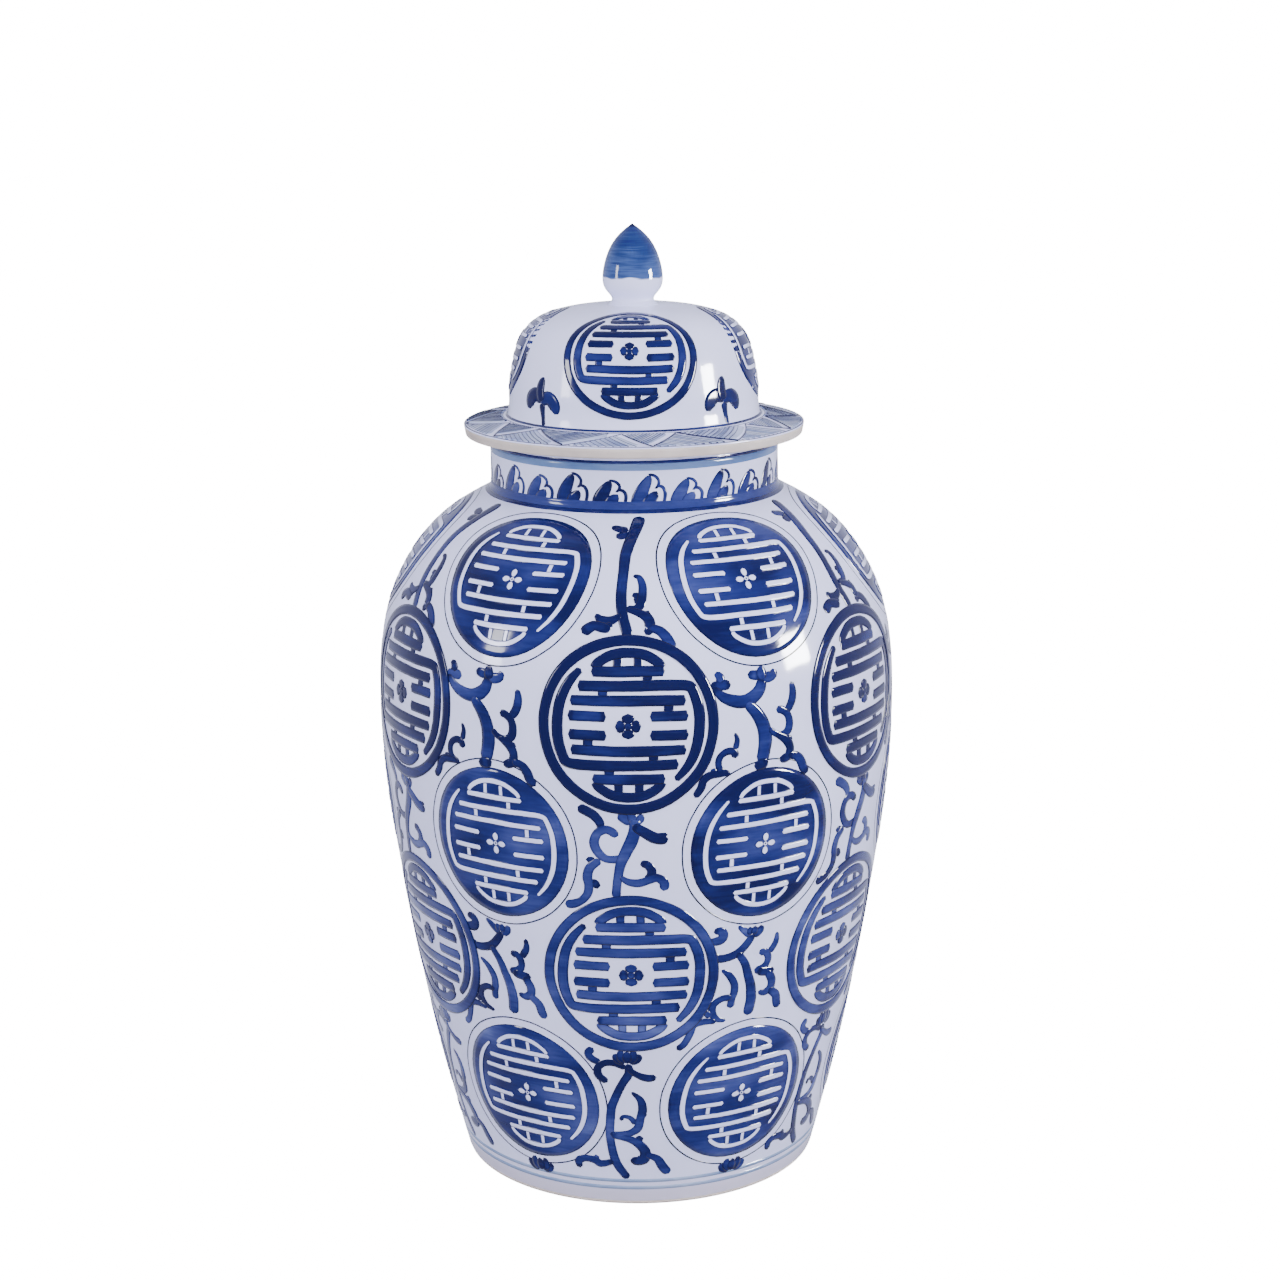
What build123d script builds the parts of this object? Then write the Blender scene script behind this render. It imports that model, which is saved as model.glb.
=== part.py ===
"""Lidded porcelain storage jar: the clay pieces that are luted together into a jar and its lift-off lid.

Millimetres.  The Z axis is the axis that the jar was thrown on, and the origin is the middle of the
foot, on the surface that the jar stands on.  Profile points are (radius, height).
"""

import os

from build123d import *

# ---- heights above the surface that the jar stands on ----
RECESS_TOP = 7.0  # roof of the recess inside the foot ring
FLOOR_TOP = 18.0  # top of the base, where the wall begins
LUTING_JOINT = 200.0  # joint between the two thrown halves of the body
BELLY_HEIGHT = 270.0
NECK_SEAT = 389.0  # flat land on the shoulder that carries the neck
RIM_HEIGHT = 418.5  # neck rim, on which the lid rests
FLANGE_EDGE_TOP = 424.5
DOME_BASE = 429.0
FINIAL_SEAT = 489.0
TOTAL_HEIGHT = 533.0

# ---- radii ----
FOOT_RADIUS = 101.0
RECESS_RADIUS = 89.0
BELLY_RADIUS = 145.0
NECK_RADIUS = 80.0
FLANGE_RADIUS = 94.5
FLANGE_UNDERSIDE_RADIUS = 93.5
DOME_RADIUS = 70.0
FINIAL_FOOT_RADIUS = 14.0
FINIAL_RADIUS = 16.5

# ---- wall thicknesses, clearance and small edges ----
BODY_WALL = 6.5
NECK_WALL = 7.0
LID_WALL = 5.0
RING_WALL = 6.0
RING_DEPTH = 12.0
RING_CLEARANCE = 2.5  # between the neck's bore and the locating ring
FOOT_ROUND = 1.5
RIM_ROUND = 1.0

# ---- turned profiles, from the bottom up ----
BODY_PROFILE = (
    (FOOT_RADIUS, 0),
    (111, 40),
    (120, 80),
    (129.4, 130),
    (137.4, 180),
    (143.4, 230),
    (BELLY_RADIUS, BELLY_HEIGHT),
    (143.6, 300),
    (138.7, 325),
    (129.9, 345),
    (118.2, 362),
    (102.8, 376),
    (NECK_RADIUS, NECK_SEAT),
)
DOME_PROFILE = (
    (DOME_RADIUS, DOME_BASE),
    (69, 440),
    (67.4, 455),
    (61.8, 473),
    (44.7, 485),
    (FINIAL_FOOT_RADIUS, FINIAL_SEAT),
)
FINIAL_PROFILE = (
    (FINIAL_FOOT_RADIUS, FINIAL_SEAT),
    (11.6, 491.5),
    (14.9, 497),
    (FINIAL_RADIUS, 506),
    (14.1, 516),
    (9.9, 524),
    (3.4, 530.5),
    (0, TOTAL_HEIGHT),
)

NECK_BORE = NECK_RADIUS - NECK_WALL
RING_RADIUS = NECK_BORE - RING_CLEARANCE
RING_BORE = RING_RADIUS - RING_WALL
INNER_WALL_STEPS = 16

os.makedirs("parts", exist_ok=True)


def inside_of(outer, wall, steps):
    """Points at one wall thickness on the axis side of an upward-running profile, from its top down."""
    points = []
    for step in range(steps, -1, -1):
        place = outer @ (step / steps)
        way = outer % (step / steps)
        points.append((place.X - wall * way.Y, place.Y + wall * way.X))
    return points


def draw_body_wall():
    """Closed half section of the body's wall, with the flat land under the neck at its top."""
    outer = Spline(*BODY_PROFILE)
    inner = Spline(*inside_of(outer, BODY_WALL, INNER_WALL_STEPS))
    Polyline(outer @ 1, (NECK_BORE, NECK_SEAT), inner @ 0)
    Line(inner @ 1, outer @ 0)


# Base: a thick disc with the unglazed foot ring around its recess.
with BuildPart() as base:
    with BuildSketch(Plane.XZ):
        with BuildLine():
            flank = Spline(*BODY_PROFILE)
            Polyline(flank @ 1, (0, NECK_SEAT), (0, 0), flank @ 0)
        make_face()
    revolve(axis=Axis.Z)
    split(bisect_by=Plane.XY.offset(FLOOR_TOP), keep=Keep.BOTTOM)
    with Locations((0, 0, RECESS_TOP)):
        Hole(radius=RECESS_RADIUS, depth=RECESS_TOP)
    foot_edges = base.edges().group_by(Axis.Z)[0]
    fillet(foot_edges, radius=FOOT_ROUND)
base.part.label = "base"

# Lower half of the body, thrown as a flaring wall.
with BuildPart() as lower_body:
    with BuildSketch(Plane.XZ):
        with BuildLine():
            draw_body_wall()
        make_face()
    revolve(axis=Axis.Z)
    split(bisect_by=Plane.XY.offset(LUTING_JOINT), keep=Keep.BOTTOM)
    split(bisect_by=Plane.XY.offset(FLOOR_TOP), keep=Keep.TOP)
lower_body.part.label = "lower_body"

# Upper half of the body: the belly and the round shoulder.
with BuildPart() as upper_body:
    with BuildSketch(Plane.XZ):
        with BuildLine():
            draw_body_wall()
        make_face()
    revolve(axis=Axis.Z)
    split(bisect_by=Plane.XY.offset(LUTING_JOINT), keep=Keep.TOP)
upper_body.part.label = "upper_body"

# Neck: a short straight collar, its rim wiped bare of glaze for the lid to rest on.
with BuildPart() as neck_collar:
    with BuildSketch(Plane.XY.offset(NECK_SEAT)):
        Circle(NECK_RADIUS)
        Circle(NECK_BORE, mode=Mode.SUBTRACT)
    extrude(amount=RIM_HEIGHT - NECK_SEAT)
    rim_edges = neck_collar.edges().group_by(Axis.Z)[-1]
    fillet(rim_edges, radius=RIM_ROUND)
neck_collar.part.label = "neck_collar"

# Lid: a domed shell on a wide, gently sloping flange, open underneath.
with BuildPart() as lid_cover:
    with BuildSketch(Plane.XZ):
        with BuildLine():
            dome = Spline(*DOME_PROFILE, tangents=((0, 1), (-1, 0)))
            dome_inside = Spline(*inside_of(dome, LID_WALL, len(DOME_PROFILE)))
            Polyline(dome @ 1, (0, FINIAL_SEAT), (0, (dome_inside @ 0).Y), dome_inside @ 0)
            Polyline(
                dome_inside @ 1,
                (RING_BORE, RIM_HEIGHT),
                (FLANGE_UNDERSIDE_RADIUS, RIM_HEIGHT),
                (FLANGE_RADIUS, FLANGE_EDGE_TOP),
                dome @ 0,
            )
        make_face()
    revolve(axis=Axis.Z)
lid_cover.part.label = "lid_cover"

# Locating ring: an unglazed collar luted under the flange, which keeps the lid over the neck.
with BuildPart() as lid_locating_ring:
    with BuildSketch(Plane.XY.offset(RIM_HEIGHT)):
        Circle(RING_RADIUS)
        Circle(RING_BORE, mode=Mode.SUBTRACT)
    extrude(amount=-RING_DEPTH)
    ring_edges = lid_locating_ring.edges().group_by(Axis.Z)[0]
    fillet(ring_edges, radius=RIM_ROUND)
lid_locating_ring.part.label = "lid_locating_ring"

# Finial: the solid bud-shaped knob that the lid is lifted by.
with BuildPart() as finial:
    with BuildSketch(Plane.XZ):
        with BuildLine():
            bud = Spline(*FINIAL_PROFILE)
            Polyline(bud @ 1, (0, FINIAL_SEAT), bud @ 0)
        make_face()
    revolve(axis=Axis.Z)
finial.part.label = "finial"

export_step(base.part, "parts/base.step")
export_step(lower_body.part, "parts/lower_body.step")
export_step(upper_body.part, "parts/upper_body.step")
export_step(neck_collar.part, "parts/neck_collar.step")
export_step(lid_cover.part, "parts/lid_cover.step")
export_step(lid_locating_ring.part, "parts/lid_locating_ring.step")
export_step(finial.part, "parts/finial.step")
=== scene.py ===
"""Looks of the lidded porcelain jar: its glaze, its bare clay and the cobalt brushwork under the glaze.

Everything is in metres. The painting is drawn flat, in millimetres, and laid around the turned surface.
"""

import math

import bpy
import numpy as np
from mathutils import Matrix, Vector


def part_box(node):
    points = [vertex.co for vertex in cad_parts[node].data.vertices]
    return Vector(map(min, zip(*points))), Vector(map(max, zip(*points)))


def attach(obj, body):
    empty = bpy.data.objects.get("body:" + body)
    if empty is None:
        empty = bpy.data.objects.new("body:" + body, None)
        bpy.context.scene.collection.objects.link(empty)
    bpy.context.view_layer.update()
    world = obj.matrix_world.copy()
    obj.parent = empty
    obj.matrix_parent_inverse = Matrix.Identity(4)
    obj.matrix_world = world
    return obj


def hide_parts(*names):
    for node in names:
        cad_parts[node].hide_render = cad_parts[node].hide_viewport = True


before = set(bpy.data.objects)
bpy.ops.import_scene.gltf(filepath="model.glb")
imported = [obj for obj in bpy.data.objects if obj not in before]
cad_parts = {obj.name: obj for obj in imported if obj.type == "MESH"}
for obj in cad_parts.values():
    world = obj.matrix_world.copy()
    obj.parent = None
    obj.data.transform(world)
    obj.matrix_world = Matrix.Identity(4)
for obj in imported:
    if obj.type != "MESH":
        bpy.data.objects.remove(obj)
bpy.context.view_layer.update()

MM = 0.001
FULL_TURN = 2 * math.pi
WELD = 0.01 * MM  # points nearer than this become one
STROKE_STEP = 0.012 * MM  # each mark of a drawing lies this much over the one before it
INLAY_DEPTH = 0.2 * MM  # how deep the back of a mark sits in the glaze
CORNER_STEPS = 8  # lines in the curve of a rounded corner
WHEEL_FACETS = 240


def placed(name, data):
    """A new object in the scene, made of this mesh, curve, light or camera."""
    thing = bpy.data.objects.new(name, data)
    bpy.context.collection.objects.link(thing)
    return thing


# ---------------------------------------------------------------- node trees written as sums


class Wire:
    """One output of a node. Sums and products of wires and numbers add Math nodes to its tree."""

    def __init__(self, tree, socket):
        self.tree = tree
        self.socket = socket

    def math(self, operation, *values):
        return self.tree.node("ShaderNodeMath", {"operation": operation}, *values)

    def __add__(self, other):
        return self.math("ADD", self, other)

    def __sub__(self, other):
        return self.math("SUBTRACT", self, other)

    def __rsub__(self, other):
        return self.math("SUBTRACT", other, self)

    def __mul__(self, other):
        return self.math("MULTIPLY", self, other)

    def __truediv__(self, other):
        return self.math("DIVIDE", self, other)

    def __pow__(self, other):
        return self.math("POWER", self, other)

    def __neg__(self):
        return self.math("MULTIPLY", self, -1.0)

    __radd__ = __add__
    __rmul__ = __mul__

    def smallest(self, other):
        return self.math("MINIMUM", self, other)

    def largest(self, other):
        return self.math("MAXIMUM", self, other)

    def held(self):
        """The value kept between 0 and 1."""
        return self.smallest(1.0).largest(0.0)

    def size(self):
        return self.math("ABSOLUTE", self)

    def root(self):
        return self.math("SQRT", self)

    def sine(self):
        return self.math("SINE", self)

    def cosine(self):
        return self.math("COSINE", self)

    def whole(self):
        return self.math("FLOOR", self)

    def step_up(self, low, high):
        """0 below low, 1 above high and a smooth rise between. With low above high it falls instead."""
        ease = {"interpolation_type": "SMOOTHSTEP"}
        return self.tree.node("ShaderNodeMapRange", ease, self, low, high, 0.0, 1.0)


class Tree:
    """A node tree with one method that adds a node, sets it and feeds its sockets."""

    def __init__(self, tree):
        self.tree = tree

    def node(self, kind, settings=None, *values, **named):
        """Add a node. Settings go first, then values by place and by name. Gives back its open outputs."""
        node = self.tree.nodes.new(kind)
        for key, value in (settings or {}).items():
            setattr(node, key, value)
        sockets = [socket for socket in node.inputs if socket.enabled]
        for socket, value in zip(sockets, values, strict=False):
            self.feed(socket, value)
        for name, value in named.items():
            wanted = name.replace("_", " ")
            self.feed(next(socket for socket in sockets if socket.name.lower() == wanted), value)
        outputs = {out.name: Wire(self, out) for out in node.outputs if out.enabled}
        return next(iter(outputs.values())) if len(outputs) == 1 else outputs

    def feed(self, socket, value):
        if isinstance(value, Wire):
            self.tree.links.new(value.socket, socket)
        elif value is not None:
            socket.default_value = value

    def vector(self, x, y, z):
        return self.node("ShaderNodeCombineXYZ", None, x, y, z)

    def vector_sum(self, a, b):
        return self.node("ShaderNodeVectorMath", {"operation": "ADD"}, a, b)

    def scaled(self, a, size):
        return self.node("ShaderNodeVectorMath", {"operation": "SCALE"}, a, scale=size)

    def parts(self, vector):
        out = self.node("ShaderNodeSeparateXYZ", None, vector)
        return out["X"], out["Y"], out["Z"]

    def noise(self, place, size, detail=2.0, roughness=0.5):
        """Noise whose largest blotches are about one size across, in metres."""
        return self.node("ShaderNodeTexNoise", None, place, 1.0 / size, detail, roughness)


# ---------------------------------------------------------------- geometry trees


def geometry_group(name, inputs):
    """An empty geometry tree with named inputs, and its input wires by name."""
    group = bpy.data.node_groups.new(name, "GeometryNodeTree")
    group.interface.new_socket("Geometry", in_out="INPUT", socket_type="NodeSocketGeometry")
    for label, kind in inputs:
        group.interface.new_socket(label, in_out="INPUT", socket_type="NodeSocket" + kind)
    group.interface.new_socket("Geometry", in_out="OUTPUT", socket_type="NodeSocketGeometry")
    tree = Tree(group)
    source = group.nodes.new("NodeGroupInput")
    given = {out.name: Wire(tree, out) for out in source.outputs if out.name}
    return group, tree, given


def finish_group(tree, geometry, paint):
    """Every tree ends in real geometry that carries its finish."""
    real = tree.node("GeometryNodeRealizeInstances", None, geometry)
    done = tree.node("GeometryNodeSetMaterial", None, real, material=paint)
    tree.node("NodeGroupOutput", None, done)


def keep(tree, geometry, name, value, kind="FLOAT", domain="POINT"):
    """Store a named attribute."""
    settings = {"data_type": kind, "domain": domain}
    return tree.node("GeometryNodeStoreNamedAttribute", settings, geometry, name=name, value=value)


def kept(tree, name, kind="FLOAT"):
    """Read a named attribute back."""
    return tree.node("GeometryNodeInputNamedAttribute", {"data_type": kind}, name)["Attribute"]


def without_strays(tree, geometry):
    """Drop the edges and points of no face, which welding leaves where a surface meets its own axis."""
    faces = tree.node("GeometryNodeInputMeshEdgeNeighbors")
    settings = {"domain": "EDGE", "mode": "EDGE_FACE"}
    geometry = tree.node("GeometryNodeDeleteGeometry", settings, geometry, (1 - faces).held())
    faces = tree.node("GeometryNodeInputMeshVertexNeighbors")["Face Count"]
    settings = {"domain": "POINT", "mode": "ALL"}
    return tree.node("GeometryNodeDeleteGeometry", settings, geometry, (1 - faces).held())


def wheel_group():
    """Turns a section, drawn as a polyline of (radius, 0, height), around the jar's axis."""
    inputs = [("Section", "Object"), ("Facets", "Int"), ("Paint", "Material")]
    group, tree, given = geometry_group("potters_wheel", inputs)
    section = tree.node("GeometryNodeObjectInfo", None, given["Section"])["Geometry"]
    size = tree.node("GeometryNodeAttributeDomainSize", {"component": "CURVE"}, section)
    columns = given["Facets"] + 1
    grid = tree.node("GeometryNodeMeshGrid", None, 1.0, 1.0, size["Point Count"], columns)["Mesh"]
    index = tree.node("GeometryNodeInputIndex")
    row = ((index + 0.5) / columns).whole()
    angle = (index - row * columns) * FULL_TURN / given["Facets"]
    spot = tree.node("GeometryNodeInputPosition")
    sample = {"data_type": "FLOAT_VECTOR", "domain": "POINT"}
    radius, _, height = tree.parts(tree.node("GeometryNodeSampleIndex", sample, section, spot, row))
    place = tree.vector(radius * angle.sine(), -(radius * angle.cosine()), height)
    turned = tree.node("GeometryNodeSetPosition", None, grid, position=place)
    closed = tree.node("GeometryNodeMergeByDistance", None, turned, distance=WELD)
    outward = tree.node("GeometryNodeFlipFaces", None, without_strays(tree, closed))
    smooth = tree.node("GeometryNodeSetShadeSmooth", None, outward, shade_smooth=True)
    finish_group(tree, smooth, given["Paint"])
    return group


def flat_ribbon(tree, given):
    """Each mark as a flat ribbon, as wide as the brush presses it, with its ends rounded."""
    marks = tree.node("GeometryNodeCurveSplineType", {"spline_type": "CATMULL_ROM"}, given["Geometry"])
    marks = tree.node("GeometryNodeResampleCurve", {"mode": "LENGTH"}, marks, length=given["Stroke length"])
    pressed = tree.node("GeometryNodeInputRadius")
    run = tree.node("GeometryNodeSplineParameter")["Length"]
    total = tree.node("GeometryNodeSplineLength")["Length"]
    is_ring = tree.node("GeometryNodeInputSplineCyclic")
    near_end = run.smallest(total - run) + is_ring
    blunt = (near_end / (pressed * given["Tip"])).held()
    marks = keep(tree, marks, "near_end", near_end)
    marks = keep(tree, marks, "half_width", pressed * (1 - (1 - blunt) ** 2).root())
    marks = keep(tree, marks, "middle", tree.node("GeometryNodeInputPosition"), "FLOAT_VECTOR")
    marks = keep(tree, marks, "way", tree.node("GeometryNodeInputTangent"), "FLOAT_VECTOR")
    marks = keep(tree, marks, "stroke", tree.node("GeometryNodeCurveOfPoint")["Curve Index"])

    across = tree.node("GeometryNodeCurvePrimitiveLine", None, (-1, 0, 0), (1, 0, 0))
    across = tree.node("GeometryNodeResampleCurve", {"mode": "COUNT"}, across, count=given["Points across"])
    across = keep(tree, across, "side", tree.parts(tree.node("GeometryNodeInputPosition"))[0])
    ribbon = tree.node("GeometryNodeCurveToMesh", None, marks, across)
    way_x, way_y, _ = tree.parts(kept(tree, "way", "FLOAT_VECTOR"))
    out = kept(tree, "side") * kept(tree, "half_width")
    spread = tree.vector(way_y * out, -(way_x * out), 0.0)
    spot = tree.vector_sum(kept(tree, "middle", "FLOAT_VECTOR"), spread)
    ribbon = tree.node("GeometryNodeSetPosition", None, ribbon, position=spot)
    ribbon = tree.node("GeometryNodeMergeByDistance", None, ribbon, distance=WELD)
    return keep(tree, ribbon, "edge", (1 - kept(tree, "side").size()) * kept(tree, "half_width"))


def thin_slab(tree, ribbon):
    """The ribbon with a back and walls. z is 1 on its painted face and 0 on its back."""
    slab = tree.node("GeometryNodeExtrudeMesh", {"mode": "FACES"}, ribbon, None, (0, 0, 1), 1.0, False)
    back = tree.node("GeometryNodeFlipFaces", None, ribbon)
    walls = keep(tree, slab["Mesh"], "wall", slab["Side"], "BOOLEAN", "FACE")
    join = tree.tree.nodes.new("GeometryNodeJoinGeometry")
    tree.feed(join.inputs[0], walls)
    tree.feed(join.inputs[0], back)
    slab = tree.node("GeometryNodeMergeByDistance", None, Wire(tree, join.outputs[0]), distance=WELD)
    return without_strays(tree, slab)


def ring_of_copies(tree, given, slab):
    """Copies in one place, each with its number as its turn."""
    ring = tree.node("GeometryNodeMeshLine", None, given["Copies"], (0, 0, 0), (0, 0, 0))
    copies = tree.node("GeometryNodeInstanceOnPoints", None, ring, None, slab)
    copies = keep(tree, copies, "turn", tree.node("GeometryNodeInputIndex"), "FLOAT", "INSTANCE")
    return tree.node("GeometryNodeRealizeInstances", None, copies)


def laid_around(tree, given, copies):
    """The copies wrapped around the profile, with the waver of a hand in them."""
    profile = tree.node("GeometryNodeObjectInfo", None, given["Profile"])["Geometry"]
    start = given["First turn"] + kept(tree, "turn") * FULL_TURN / given["Copies"]

    def on_profile(length):
        found = tree.node("GeometryNodeSampleCurve", {"mode": "LENGTH"}, profile, None, length)
        radius, _, height = tree.parts(found["Position"])
        rise_r, _, rise_z = tree.parts(found["Tangent"])
        return radius, height, rise_r, rise_z

    row_radius = on_profile(given["Row"])[0]

    def wrapped(x, y, lift):
        radius, height, rise_r, rise_z = on_profile(given["Row"] + y)
        angle = start + x / (radius + given["Taper"] * (row_radius - radius))
        reach = radius + lift * rise_z
        return tree.vector(reach * angle.sine(), -(reach * angle.cosine()), height - lift * rise_r)

    flat_x, flat_y, layer = tree.parts(tree.node("GeometryNodeInputPosition"))
    shift = tree.scaled(tree.vector(1.0, 2.0, 3.0), given["Seed"] * 0.37)
    place = tree.vector_sum(wrapped(flat_x, flat_y, 0.0), shift)
    waver_x, waver_y, _ = tree.parts(tree.noise(place, 26 * MM, 3.0)["Color"])
    lift = layer * (given["Lift"] + kept(tree, "stroke") * STROKE_STEP) - (1 - layer) * INLAY_DEPTH
    laid = wrapped(flat_x + (waver_x - 0.5) * given["Waver"], flat_y + (waver_y - 0.5) * given["Waver"], lift)
    return tree.node("GeometryNodeSetPosition", None, copies, position=laid)


def brush_group():
    """Lays flat brush marks around a turned surface, as thin closed inlays that stand in rings of copies.

    A mark is a curve whose radius is the brush's half width. x runs around the jar and y up its profile.
    """
    sizes = ("Row", "First turn", "Taper", "Lift", "Stroke length", "Tip", "Waver")
    counts = ("Copies", "Points across", "Seed")
    inputs = [("Profile", "Object"), ("Paint", "Material")]
    inputs += [(label, "Float") for label in sizes] + [(label, "Int") for label in counts]
    group, tree, given = geometry_group("brush_marks", inputs)
    slab = thin_slab(tree, flat_ribbon(tree, given))
    copies = laid_around(tree, given, ring_of_copies(tree, given, slab))
    tone_key = kept(tree, "stroke") + kept(tree, "turn") * 31
    tone = tree.node("FunctionNodeRandomValue", {"data_type": "FLOAT"}, 0.0, 1.0, tone_key, given["Seed"])
    copies = keep(tree, copies, "tone", tone)
    is_wall = kept(tree, "wall", "BOOLEAN")
    copies = tree.node("GeometryNodeSetShadeSmooth", None, copies, None, 1 - is_wall)
    finish_group(tree, copies, given["Paint"])
    return group


def made_piece(name, group, carrier, values):
    """Run a tree on a carrier object and turn the result into a plain mesh piece."""
    modifier = carrier.modifiers.new("shape", "NODES")
    modifier.node_group = group
    for item in group.interface.items_tree:
        if item.in_out == "INPUT" and item.name in values:
            modifier[item.identifier] = values[item.name]
    depsgraph = bpy.context.evaluated_depsgraph_get()
    mesh = bpy.data.meshes.new_from_object(carrier.evaluated_get(depsgraph), depsgraph=depsgraph)
    carrier.modifiers.clear()
    mesh.name = name
    for spare in ("middle", "way", "half_width", "side", "turn", "stroke", "wall"):
        if spare in mesh.attributes:
            mesh.attributes.remove(mesh.attributes[spare])
    return placed(name, mesh)


# ---------------------------------------------------------------- sizes read from the frame, in millimetres


def radius_of(node):
    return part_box(node)[1][0] / MM


def top_of(node):
    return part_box(node)[1][2] / MM


def foot_of(node):
    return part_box(node)[0][2] / MM


FLOOR_TOP = top_of("base")
NECK_SEAT = foot_of("neck_collar")
RIM_HEIGHT = top_of("neck_collar")
NECK_RADIUS = radius_of("neck_collar")
BELLY_RADIUS = radius_of("upper_body")
FLANGE_RADIUS = radius_of("lid_cover")
FINIAL_SEAT = top_of("lid_cover")
RING_RADIUS = radius_of("lid_locating_ring")
RING_FOOT = foot_of("lid_locating_ring")
FINIAL_TIP = top_of("finial")

FOOT_RADIUS = 101.0
FOOT_BARE_HEIGHT = 2.6  # bare clay below the glaze line
FOOT_RING_BORE = 89.0
RECESS_TOP = 7.0
BODY_WALL = 6.5
NECK_BORE = NECK_RADIUS - 7.0
RIM_BARE_HEIGHT = 1.5
LID_WALL = 5.0
RING_BORE = RING_RADIUS - 6.0
FLANGE_BARE_TOP = RIM_HEIGHT + 5.2
FLANGE_EDGE_TOP = RIM_HEIGHT + 6.0
DOME_BASE = RIM_HEIGHT + 10.5
DOME_RADIUS = 70.0
FINIAL_FOOT_RADIUS = 14.0
FINIAL_FOOT = FINIAL_SEAT - 0.3  # let a little into the dome
FINIAL_PAINT_FOOT = 504.3  # about where the finial's blue begins

BODY_PROFILE = (
    (FOOT_RADIUS, 0),
    (111, 40),
    (120, 80),
    (129.4, 130),
    (137.4, 180),
    (143.4, 230),
    (BELLY_RADIUS, 270),
    (143.6, 300),
    (138.7, 325),
    (129.9, 345),
    (118.2, 362),
    (102.8, 376),
    (NECK_RADIUS, NECK_SEAT),
)
DOME_PROFILE = (
    (DOME_RADIUS, DOME_BASE),
    (69.2, 436),
    (69, 445),
    (67.4, 455),
    (61.8, 473),
    (55.3, 480),
    (44.7, 485),
    (30, 487.9),
    (FINIAL_FOOT_RADIUS, FINIAL_SEAT),
)
FINIAL_PROFILE = (
    (FINIAL_FOOT_RADIUS + 0.6, FINIAL_FOOT),
    (11.6, 491.5),
    (14.9, 497),
    (16.5, 506),
    (14.1, 516),
    (9.9, 524),
    (3.4, 530.5),
    (0, FINIAL_TIP),
)


# ---------------------------------------------------------------- turned profiles


def along(line):
    """Length run at each point of a line."""
    steps = np.hypot(*np.diff(line, axis=0).T)
    return np.concatenate([[0.0], np.cumsum(steps)])


def smooth_run(points, spacing):
    """Natural cubic spline through (radius, height) points, in steps of about one spacing."""
    points = np.array(points, float)
    knots = along(points)
    gaps = np.diff(knots)
    system = np.eye(len(points))
    bends = np.zeros_like(points)
    for i in range(1, len(points) - 1):
        system[i, i - 1 : i + 2] = gaps[i - 1], 2 * (gaps[i - 1] + gaps[i]), gaps[i]
        bends[i] = 6 * ((points[i + 1] - points[i]) / gaps[i] - (points[i] - points[i - 1]) / gaps[i - 1])
    curl = np.linalg.solve(system, bends)
    places = np.linspace(0, knots[-1], int(knots[-1] / spacing) + 2)
    span = np.clip(np.searchsorted(knots, places) - 1, 0, len(gaps) - 1)
    gap = gaps[span]
    after = (places - knots[span]) / gap
    before = 1 - after
    straight = before[:, None] * points[span] + after[:, None] * points[span + 1]
    curved = (before**3 - before)[:, None] * curl[span] + (after**3 - after)[:, None] * curl[span + 1]
    return straight + curved * (gap**2)[:, None] / 6


def straight_run(*points, spacing=2.5):
    """Straight lines through points, cut into short steps so that the shading stays even."""
    points = np.array(points, float)
    knots = along(points)
    places = np.union1d(knots, np.linspace(0, knots[-1], int(knots[-1] / spacing) + 2))
    return np.stack([np.interp(places, knots, points[:, axis]) for axis in (0, 1)], axis=1)


def stretch(line, start, end):
    """The part of a line between two lengths along it."""
    knots = along(line)
    inside = knots[(knots > start + 0.01) & (knots < end - 0.01)]
    places = np.concatenate([[start], inside, [end]])
    return np.stack([np.interp(places, knots, line[:, axis]) for axis in (0, 1)], axis=1)


def joined(line, *parts):
    """Lines end to end. A number before a line is the size of the rounded corner where it starts."""
    whole = np.array(line, float)
    size = 0
    for part in parts:
        if np.isscalar(part):
            size = part
            continue
        if size == 0:
            whole = np.concatenate([whole, part[1:]])
            continue
        corner = part[0]
        whole = stretch(whole, 0, along(whole)[-1] - size)
        part = stretch(part, size, along(part)[-1])
        share = np.linspace(0, 1, CORNER_STEPS)[1:-1, None]
        bend = (1 - share) ** 2 * whole[-1] + 2 * share * (1 - share) * corner + share**2 * part[0]
        whole = np.concatenate([whole, bend, part])
        size = 0
    return whole


def outline(*corners, rounds):
    """Straight lines from corner to corner, with the size of the round at each corner between two of them."""
    line = straight_run(corners[0], corners[1])
    for size, start, end in zip(rounds, corners[1:-1], corners[2:], strict=True):
        line = joined(line, size, straight_run(start, end))
    return line


def inside_of(line, wall):
    """A line at one wall thickness on the axis side of an upward line, running down."""
    way = np.gradient(line, axis=0)
    way /= np.hypot(*way.T)[:, None]
    return (line + wall * np.stack([-way[:, 1], way[:, 0]], axis=1))[::-1]


body_line = smooth_run(BODY_PROFILE, 3.0)
neck_line = straight_run((NECK_RADIUS, NECK_SEAT), (NECK_RADIUS, RIM_HEIGHT - RIM_BARE_HEIGHT))
jar_outside = joined(body_line, 3.0, neck_line)
foot_arc = np.interp(FOOT_BARE_HEIGHT, body_line[:, 1], along(body_line))
glaze_line_radius = np.interp(FOOT_BARE_HEIGHT, body_line[:, 1], body_line[:, 0])
jar_inside = inside_of(body_line, BODY_WALL)
jar_inside = jar_inside[jar_inside[:, 1] > FLOOR_TOP]

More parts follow.
